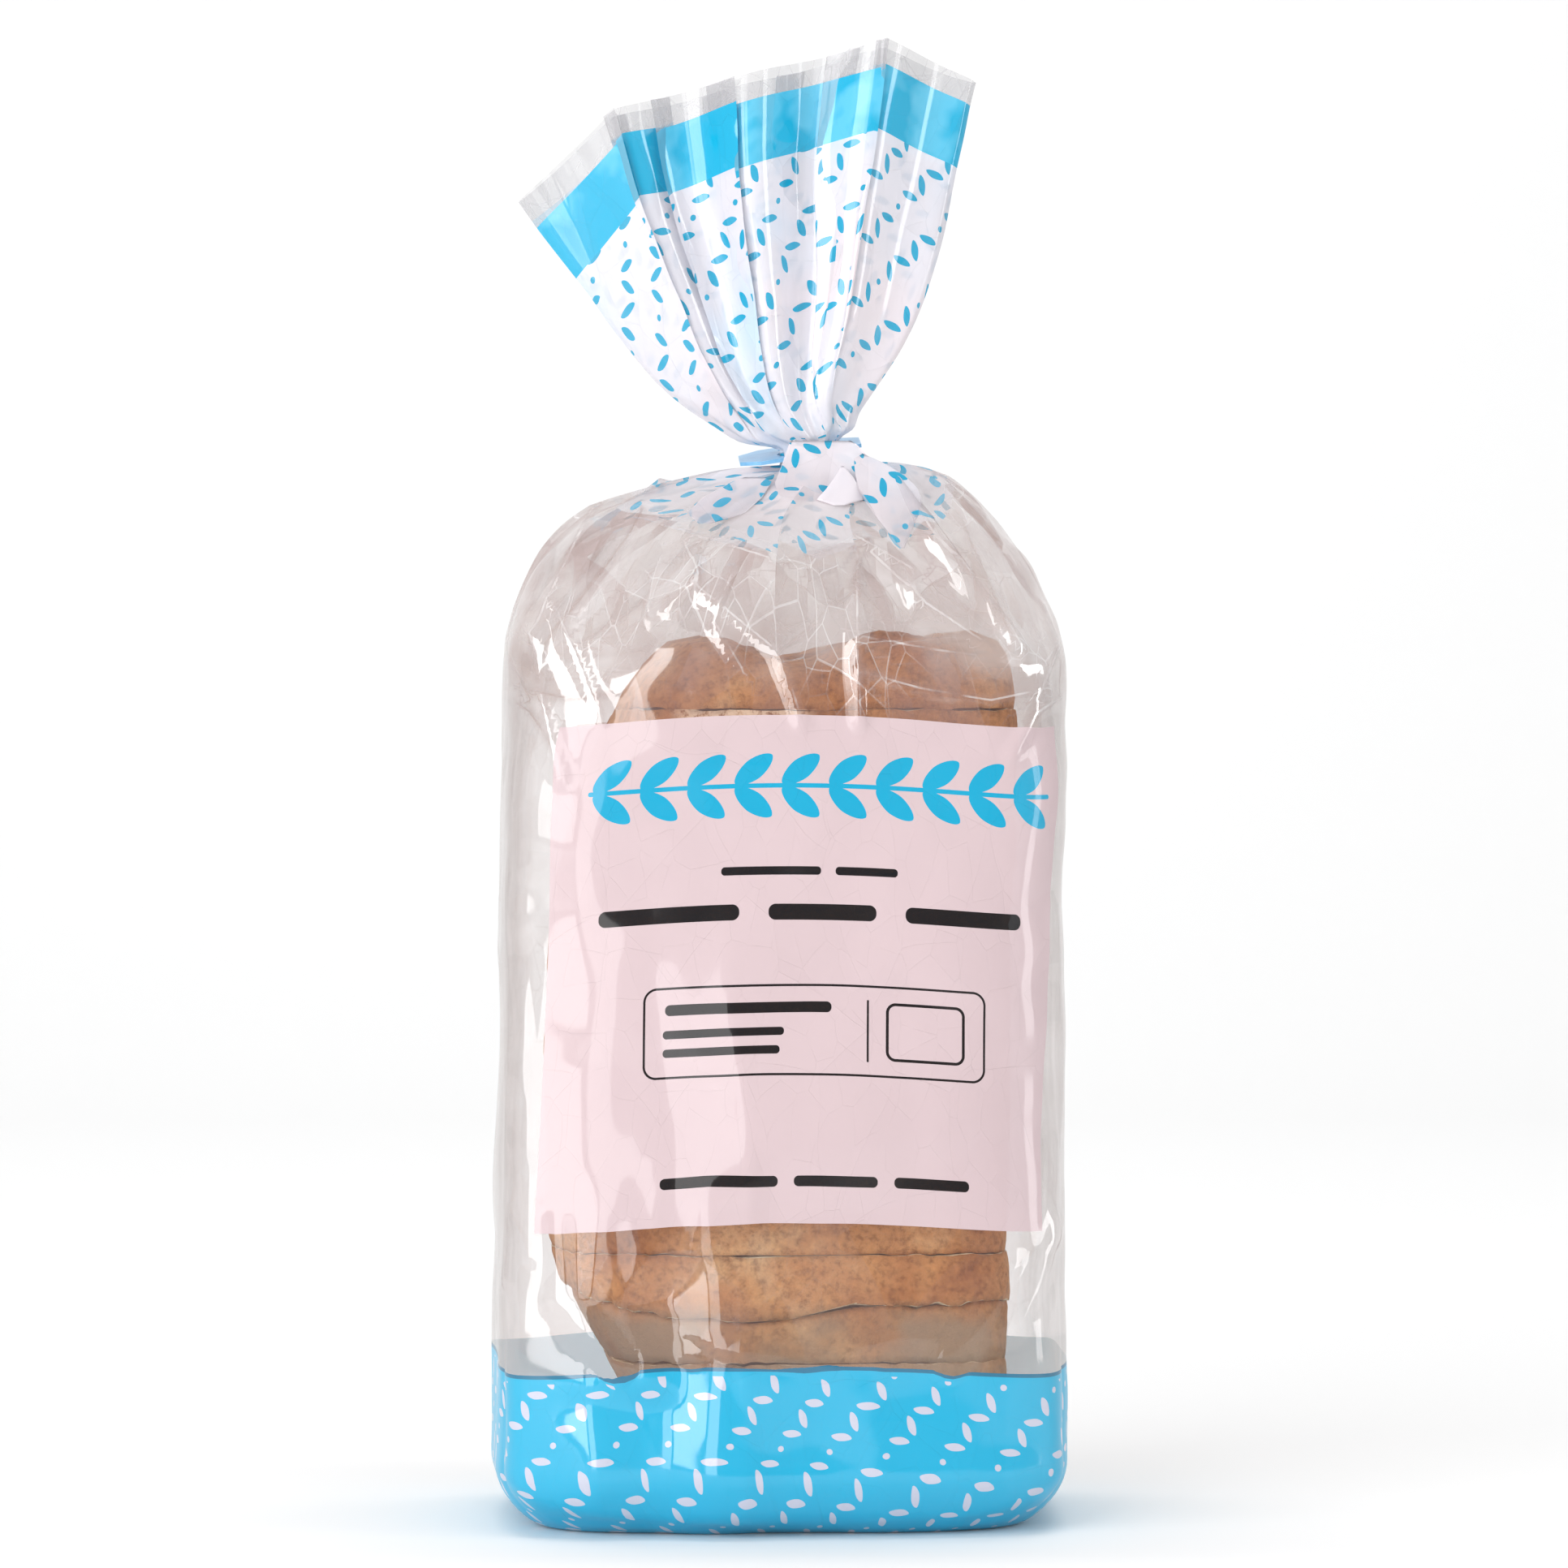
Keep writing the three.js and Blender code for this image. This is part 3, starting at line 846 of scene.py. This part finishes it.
# Bars, and a frame with an empty box in it, each by the place of its middle and its half sizes
navy_shapes = either(
    bar(-4.0, 163.4, 12.0, 1.0),
    bar(19.0, 163.4, 7.5, 1.0),
    bar(-28.5, 153.6, 17.0, 1.9),
    bar(8.5, 153.6, 13.0, 1.9),
    bar(43.0, 153.6, 14.5, 1.9),
    outline(7.0, 125.6, 41.0, 10.6, 3.0, 0.55),
    bar(19.7, 125.6, 0.25, 7.4),
    bar(-9.0, 131.0, 20.0, 1.3),
    bar(-15.0, 125.2, 14.5, 1.0),
    bar(-15.5, 120.8, 14.0, 1.0),
    outline(33.6, 125.6, 9.2, 6.6, 2.0, 0.7),
    bar(-16.0, 90.0, 14.0, 1.3),
    bar(12.0, 90.0, 10.0, 1.3),
    bar(35.0, 90.0, 9.0, 1.3),
)
navy_shapes = both(navy_shapes, front_panel)

# The milky print starts on the shoulders, higher up at the sides than over the middle: its edge from the
# middle of the front to the sides, and the height of that edge
MILKY_LOW = 236.0
MILKY_RISE = 40.0
MILKY_EDGE = [
    (-217, 245), (-190, 252), (-160, 262), (-120, 272), (-79, 271), (-60, 266), (-39, 259),
    (-17, 249), (0, 243), (10, 240.5), (22, 249), (31, 253), (38, 246.5), (45, 257),
    (68, 264), (91, 269), (125, 271), (160, 260), (190, 251), (217, 245),
]
edge_stops = []
for place, height in MILKY_EDGE:
    edge_stops.append((place / FILM_WIDTH + 0.5, ((height - MILKY_LOW) / MILKY_RISE,) * 3))
edge_rise = colour_ramp(maths("DIVIDE", u, FILM_WIDTH), edge_stops)
over_edge = less(less(v, MILKY_LOW), both(edge_rise, MILKY_RISE))
thicker = ramp_value(over_edge, 0.0, 26)

# The stripe round the mouth, and the band round the foot
STRIPE_LOW = 385.4
STRIPE_HIGH = 401.0
FOOT_BAND_TOP = 46.4
stripe = within(v, STRIPE_LOW, STRIPE_HIGH)
clear_lip = maths("GREATER_THAN", v, STRIPE_HIGH)
band = maths("LESS_THAN", v, FOOT_BAND_TOP)
band_line = within(v, FOOT_BAND_TOP - 0.9, FOOT_BAND_TOP)
blue_bands = either(band, stripe)
band_marks = both(marks, maths("LESS_THAN", v, FOOT_BAND_TOP - 2.0))
milky = both(maths("GREATER_THAN", over_edge, 0.0), maths("LESS_THAN", v, STRIPE_HIGH))
milky_marks = both(both(marks, milky), less(1.0, stripe))


def vector_maths(operation, *values):
    node = nodes.new("ShaderNodeVectorMath")
    node.operation = operation
    for socket, value in zip(node.inputs, values):
        fill(socket, value)
    return node.outputs[0]


# Slack film breaks into small flat facets. Each catches the light in its own way, shown as painted sheen that
# looks milky and painted shade that looks darker, most of all over the panel, where the film is slackest
warp = noise_texture(flat_place, 30, 1, output="Color")
bent_place = vector_maths("MULTIPLY_ADD", warp, (0.010, 0.016, 0), flat_place)
facet_place = vector_maths("MULTIPLY", bent_place, (1.0, 0.6, 0.0))


def flat_facets(scale):
    """Cells of film, each tilted its own way: their relief in metres for a slope of 1, their share of painted
    sheen and painted shade from 0 to 1, and the distance to the nearest fold between two of them as a share
    of a cell."""
    cells = nodes.new("ShaderNodeTexVoronoi")
    folds = nodes.new("ShaderNodeTexVoronoi")
    folds.feature = "DISTANCE_TO_EDGE"
    for texture in (cells, folds):
        texture.voronoi_dimensions = "2D"
        texture.inputs["Scale"].default_value = scale
        links.new(facet_place, texture.inputs["Vector"])
    apart = axes_of(vector_maths("SUBTRACT", facet_place, cells.outputs["Position"]))
    chance = nodes.new("ShaderNodeSeparateColor")
    links.new(cells.outputs["Color"], chance.inputs[0])
    tilt_u = both(apart["X"], less(chance.outputs[0], 0.5))
    tilt_v = both(apart["Y"], less(chance.outputs[1], 0.5))
    return maths("ADD", tilt_u, tilt_v), chance.outputs[2], folds.outputs["Distance"]


large_relief, large_shading, large_fold = flat_facets(52)
small_relief, small_shading, small_fold = flat_facets(150)
upper = ramp_value(v, 188, 215, 0.22, 1.0)
clouded = ramp_value(noise_texture(flat_place, 24, 4), 0.38, 0.64)
facet_shading = maths("ADD", both(large_shading, 0.55), both(small_shading, 0.2))
facet_shading = maths("ADD", facet_shading, both(clouded, 0.25))
sheen_on_facets = both(maths("MAXIMUM", less(facet_shading, 0.5), 0.0), upper)
darker = both(maths("MAXIMUM", less(0.5, facet_shading), 0.0), upper)
# Painted highlight: thin white lines along the folds between facets, where the film is clouded
fold_highlights = maths("ADD", maths("LESS_THAN", large_fold, 0.009), maths("LESS_THAN", small_fold, 0.02))
fold_highlights = both(both(fold_highlights, maths("POWER", clouded, 2.0)), both(upper, 0.6))

# Over the top of the loaf the film lies in several crumpled layers, which veil the crust
fog = both(ramp_value(v, 205, 217), ramp_value(v, 240, 222))
fog = both(fog, ramp_value(noise_texture(flat_place, 34, 3), 0.36, 0.60))

# The gussets at the sides are several layers of film, with upright streaks
streaks = noise_texture(vector_maths("MULTIPLY", flat_place, (1.0, 0.05, 1.0)), 260, 3, 0.6)
from_side = maths("ABSOLUTE", less(maths("ABSOLUTE", front), FILM_WIDTH / 4))
gusset = both(ramp_value(from_side, 47, 38), ramp_value(v, 225, 200))
layers = both(gusset, maths("ADD", both(streaks, 1.3), -0.1))


def attribute(name):
    node = nodes.new("ShaderNodeAttribute")
    node.attribute_name = name
    return node.outputs["Fac"]


# Along each crease of the upper part runs a broken white line in a pale glow, both painted highlight, and one
# side of it is darker with painted shade
crease_across = attribute("crease")
near_crease = attribute("near_crease")
crease_height = ramp_value(v, 186, 204)
crease_strength = both(ramp_value(noise_texture(flat_place, 90, 3, 0.6), 0.40, 0.62), crease_height)
crease_highlight = both(within(crease_across, -0.24, 0.24), maths("GREATER_THAN", near_crease, 0.55))
crease_highlight = both(both(crease_highlight, crease_strength), 0.62)
crease_glow_highlight = both(both(ramp_value(maths("ABSOLUTE", crease_across), 1.7, 0.3), crease_height), 0.5)
crease_shade = both(ramp_value(crease_across, 2.6, 0.3), maths("GREATER_THAN", crease_across, 0.0))
crease_shade = both(both(crease_shade, near_crease), crease_strength)

CLEAR = (0.36, 0.20, 0.18)
FACET_SHEEN = (0.68, 0.60, 0.59)
FOG = (0.60, 0.52, 0.50)
FOLD_HIGHLIGHT = (0.95, 0.92, 0.92)
GUSSET_GREY = (0.30, 0.25, 0.23)
THIN_MILK = (0.56, 0.50, 0.53)
MILK = (0.80, 0.78, 0.84)
BLUE_MILK = (0.62, 0.77, 0.92)
PINK_MILK = (0.87, 0.77, 0.80)
PANEL_PINK = (0.62, 0.49, 0.51)
BAND_BLUE = (0.001, 0.41, 0.66)
LIT_BLUE = (0.20, 0.66, 0.88)
DEEP_BLUE = (0.003, 0.15, 0.27)
MARK_BLUE = (0.003, 0.36, 0.58)
MARK_WHITE = (0.56, 0.57, 0.68)
LIP_GREY = (0.50, 0.49, 0.51)
NAVY = (0.003, 0.003, 0.005)
PANEL_INSIDE_LIT = (0.86, 0.80, 0.82)
BLUE_INSIDE_LIT = (0.20, 0.62, 0.85)

# Painted sheen: facets that catch the light are painted paler
colour = blend_colour(CLEAR, FACET_SHEEN, up_to_one(both(sheen_on_facets, 2.6)))
colour = blend_colour(colour, FOG, fog)
# Painted highlight along the creases and the folds between facets
colour = blend_colour(colour, FOLD_HIGHLIGHT, up_to_one(maths("ADD", crease_highlight, fold_highlights)))
colour = blend_colour(colour, GUSSET_GREY, up_to_one(layers))
milk = colour_ramp(noise_texture(flat_place, 16, 2), [
    (0.34, BLUE_MILK), (0.46, MILK), (0.56, MILK), (0.68, PINK_MILK)])
colour = blend_colour(colour, blend_colour(THIN_MILK, milk, thicker), milky)
colour = blend_colour(colour, MARK_BLUE, milky_marks)
colour = blend_colour(colour, PANEL_PINK, panels)
colour = blend_colour(colour, MARK_BLUE, leaf_band)
colour = blend_colour(colour, NAVY, navy_shapes)
colour = blend_colour(colour, BAND_BLUE, blue_bands)
stripe_lit = both(stripe, ramp_value(noise_texture(flat_place, 42, 3, 0.6), 0.50, 0.60, 0.0, 0.5))
colour = blend_colour(colour, LIT_BLUE, stripe_lit)
colour = blend_colour(colour, DEEP_BLUE, band_line)
colour = blend_colour(colour, LIP_GREY, clear_lip)
colour = blend_colour(colour, MARK_WHITE, band_marks)

# Seen from inside, the print is painted paler: painted light that stands for the light shining through the
# thin ink
inside = nodes.new("ShaderNodeNewGeometry").outputs["Backfacing"]
colour = blend_colour(colour, PANEL_INSIDE_LIT, both(inside, panels))
colour = blend_colour(colour, BLUE_INSIDE_LIT, both(inside, blue_bands))
links.new(colour, shader.inputs["Base Color"])

# How much of what lies behind the film is hidden, most of all where it is printed or seen on edge
edge_on = nodes.new("ShaderNodeLayerWeight")
edge_on.inputs["Blend"].default_value = 0.35
# The painted sheen and painted shade of the facets also hide more of what lies behind
haze = maths("ADD", maths("ADD", both(sheen_on_facets, 1.1), both(darker, 1.3)), 0.14)
haze = blend_value(haze, 0.42, clear_lip)
haze = blend_value(haze, 0.62, fog)
# Painted highlights along folds and creases, and painted shade beside creases, also hide more of what lies
# behind
haze = blend_value(haze, 0.7, up_to_one(both(fold_highlights, 0.8)))
haze = blend_value(haze, 0.6, up_to_one(both(layers, 0.85)))
haze = blend_value(haze, 0.40, both(crease_shade, 0.8))
haze = blend_value(blend_value(haze, 0.55, crease_glow_highlight), 0.75, crease_highlight)
haze = blend_value(haze, 0.5, maths("POWER", edge_on.outputs["Facing"], 2.5))
cover = blend_value(haze, blend_value(0.34, 0.78, thicker), milky)
cover = blend_value(cover, blend_value(0.62, 0.93, thicker), milky_marks)
cover = blend_value(cover, blend_value(0.965, 0.8, inside), panels)
cover = blend_value(cover, blend_value(0.96, 0.6, inside), blue_bands)
links.new(cover, shader.inputs["Alpha"])

gloss = blend_value(blend_value(0.85, 0.2, milky), 0.2, blue_bands)
gloss = blend_value(gloss, 0.1, panels)
gloss = blend_value(gloss, 0.22, clear_lip)
links.new(gloss, shader.inputs["Coat Weight"])
shader.inputs["Coat IOR"].default_value = 3.6
shader.inputs["Coat Roughness"].default_value = 0.06
shader.inputs["Roughness"].default_value = 0.28
shader.inputs["IOR"].default_value = 1.5
shader.inputs["Specular IOR Level"].default_value = 0.08

facet_bump = nodes.new("ShaderNodeBump")
facet_bump.inputs["Strength"].default_value = 1.0
facet_bump.inputs["Distance"].default_value = 1.0
facet_relief = maths("ADD", both(large_relief, 0.34), both(small_relief, 0.2))
links.new(both(facet_relief, upper), facet_bump.inputs["Height"])
links.new(facet_bump.outputs["Normal"], shader.inputs["Normal"])

film.data.materials.append(film_material)
mark_creases(film, crease_place)

# The folds in front of the clip
# Film of the front shoulder, pinched into a flat pocket as the neck was gathered, stands up before the clip
# with its rim folded over and its right corner turned out. One more tuck lies on the left shoulder, and a
# tongue of milky film hangs down to the right of the clip.

TUCK_STEPS = 22


def tuck(name, edges, place, lean, thickness, film_spot, print_turn, print_scale=1.0):
    """A flattened pocket of film between edges in mm, given as height, left and right, its front and back
    joined over the top rim, leaning back from its foot."""
    heights, lefts, rights = zip(*edges)
    climb = np.concatenate([np.linspace(0, 1, TUCK_STEPS), np.linspace(1, 0, TUCK_STEPS)[1:]])
    is_back = np.arange(len(climb)) >= TUCK_STEPS
    across = np.linspace(0, 1, TUCK_STEPS)
    points = np.empty((len(climb), len(across), 3))
    u_flat = np.empty(points.shape[:2])
    v_flat = np.empty(points.shape[:2])
    for row, (share, back_side) in enumerate(zip(climb, is_back)):
        height = share * heights[-1]
        left = np.interp(height, heights, lefts)
        right = np.interp(height, heights, rights)
        x = left + (right - left) * across
        swell = thickness * (1 - (2 * across - 1) ** 4) * math.sqrt(max(0.0, 1 - share**3))
        wrinkle = np.array([noise.noise(Vector((spot / 6, height / 9, 2.0 * back_side))) for spot in x]) * 0.5
        y = np.where(back_side, swell, -swell) + wrinkle
        points[row, :, 0] = place[0] + x
        points[row, :, 1] = place[1] + y + height * math.tan(lean)
        points[row, :, 2] = place[2] + height
        print_u = x * math.cos(print_turn) - height * math.sin(print_turn)
        print_v = x * math.sin(print_turn) + height * math.cos(print_turn)
        u_flat[row] = film_spot[0] + print_u * (-1 if back_side else 1) * print_scale
        v_flat[row] = film_spot[1] + print_v * print_scale
    piece = film_sheet(name, points, (u_flat[:, :-1], v_flat[:, :-1]), (u_flat[:, 1:], v_flat[:, 1:]))
    piece.data.materials.append(film_material)
    # The rim and the side edges of each pocket are marked as creases, so they bear the painted white
    # highlight line
    rim = np.full(points.shape[:2], 3.0)
    rim[:, 0] = rim[:, -1] = rim[TUCK_STEPS - 1] = 0.0
    mark_creases(piece, rim)
    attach(piece, "root")
    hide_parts("bag")


tuck(
    "neck_fold",
    [(0, 3, 32), (2, -0.6, 31), (4.5, -1.3, 29), (8, 0.1, 25.5), (12, 1.6, 20.6), (14, 2.3, 19),
     (15, 2.8, 17.4)],
    (0, -18.5, 247.2), math.radians(28), 1.0, (216, 256), math.radians(22),
)
tuck(
    "turned_corner",
    [(0, 12.5, 15.5), (1.4, 8.6, 19.9), (4, 11, 19.2), (7, 13.2, 17.6), (9.6, 14.8, 15.4)],
    (0, -21.4, 246.2), math.radians(24), 0.5, (222, 296), math.radians(80), 0.0,
)
tuck(
    "left_tuck",
    [(0, -20, -17), (2.5, -22.6, -9), (6.5, -19, -4.5), (10.5, -11.5, -2), (11.6, -8.5, -4)],
    (0, -27.8, 241.6), math.radians(50), 0.7, (190, 262), math.radians(-28),
)
tuck(
    "milky_tongue",
    [(0, 28.2, 29.2), (4, 25.5, 31), (8, 22.5, 33), (12, 20, 34), (15, 18.6, 33), (18, 18.2, 30),
     (21, 18, 25.5), (23.5, 18, 20)],
    (0, -33, 235.6), math.radians(41), 0.6, (208, 246), math.radians(14),
)

# The clip
# A flat closure stamped from light blue polystyrene sheet, with cut corners, a round hole for the gathered
# neck and a slot at the back that it was pushed on by. The frame's own solid has its true shape.

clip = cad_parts["clip"]
clip_plastic, nodes, links, shader = new_material("blue clip plastic")
clip_place = nodes.new("ShaderNodeTexCoord").outputs["Object"]
flow = noise_texture(clip_place, 260, 3, 0.6)
clip_blue = colour_ramp(flow, [(0.35, (0.19, 0.47, 0.76)), (0.65, (0.25, 0.54, 0.82))])
links.new(clip_blue, shader.inputs["Base Color"])
shader.inputs["Roughness"].default_value = 0.3
grained(clip_place, 1400, 2, 0.5, 0.25, 0.05 * MM)
for slot in clip.material_slots:
    slot.material = clip_plastic

# The camera, the lights and the floor
# The camera stands a little to the left of the bag and looks nearly level at it. A key softbox stands at the
# left, and a tall narrow one near the front is what the film mirrors. A sheet of white paper is the floor.

CAMERA_PLACE = Vector((-0.06, -1.6, 0.2))
CAMERA_AIM = Vector((0.0004, -0.03, 0.179))
VIEW_WIDTH = 1932 * 0.195 * MM
camera_data = bpy.data.cameras.new("camera")
camera = bpy.data.objects.new("camera", camera_data)
bpy.context.collection.objects.link(camera)
bpy.context.scene.camera = camera
camera.location = CAMERA_PLACE
direction = CAMERA_AIM - CAMERA_PLACE
camera.rotation_euler = direction.to_track_quat("-Z", "Y").to_euler()
camera_data.sensor_width = 36
camera_data.lens = 36 * direction.length / VIEW_WIDTH
camera_data.clip_start = 0.05
camera_data.clip_end = 50

scene = bpy.context.scene
scene.view_settings.view_transform = "Standard"
world = bpy.data.worlds.new("studio")
scene.world = world
world.use_nodes = True
sky = world.node_tree.nodes["Background"]
sky.inputs["Color"].default_value = (0.9, 0.9, 0.9, 1)
sky.inputs["Strength"].default_value = 0.54


def soft_light(name, place, target, size, power):
    data = bpy.data.lights.new(name, "AREA")
    data.shape = "RECTANGLE"
    data.size, data.size_y = size
    data.energy = power
    light = bpy.data.objects.new(name, data)
    light.location = place
    light.rotation_euler = (Vector(target) - Vector(place)).to_track_quat("-Z", "Y").to_euler()
    light.visible_camera = False
    bpy.context.collection.objects.link(light)
    return light


soft_light("key softbox", (-1.2, -1.2, 0.55), (0, 0, 0.17), (1.2, 1.0), 17)
soft_light("right softbox", (1.4, -0.6, 0.45), (0, 0, 0.17), (0.3, 1.1), 5)
soft_light("top softbox", (0.1, -0.5, 1.6), (0, 0, 0.15), (0.9, 0.4), 4).visible_glossy = False
soft_light("front strip light", (-0.24, -0.75, 0.43), (0, 0, 0.43), (0.17, 0.84), 1.35)
soft_light("paper light", (0, 0.5, 2.3), (0, 2.0, 0.6), (2.4, 0.6), 27).visible_glossy = False

# The paper is flat to 1.5 m behind the bag and then curves up at a radius of 0.8 m
CURVE_START = 1.5
CURVE_RADIUS = 0.8
bm = bmesh.new()
profile = [(-2.6, 0.0), (CURVE_START, 0.0)]
for turn in (i * math.pi / 24 for i in range(1, 13)):
    profile.append((CURVE_START + CURVE_RADIUS * math.sin(turn), CURVE_RADIUS * (1 - math.cos(turn))))
profile.append((CURVE_START + CURVE_RADIUS, 2.8))
corners = [bm.verts.new((-3, *corner)) for corner in profile]
edges = [bm.edges.new(pair) for pair in zip(corners, corners[1:])]
swept = bmesh.ops.extrude_edge_only(bm, edges=edges)["geom"]
far_side = [corner for corner in swept if isinstance(corner, bmesh.types.BMVert)]
bmesh.ops.translate(bm, verts=far_side, vec=(6, 0, 0))
bmesh.ops.recalc_face_normals(bm, faces=bm.faces[:])
for f in bm.faces:
    f.smooth = True
floor = finished(bm, "paper_sweep")
paper, nodes, links, shader = new_material("white paper")
shader.inputs["Base Color"].default_value = (0.92, 0.92, 0.92, 1)
shader.inputs["Roughness"].default_value = 0.9
shader.inputs["Specular IOR Level"].default_value = 0.1
floor.data.materials.append(paper)
floor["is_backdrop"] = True

low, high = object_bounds()
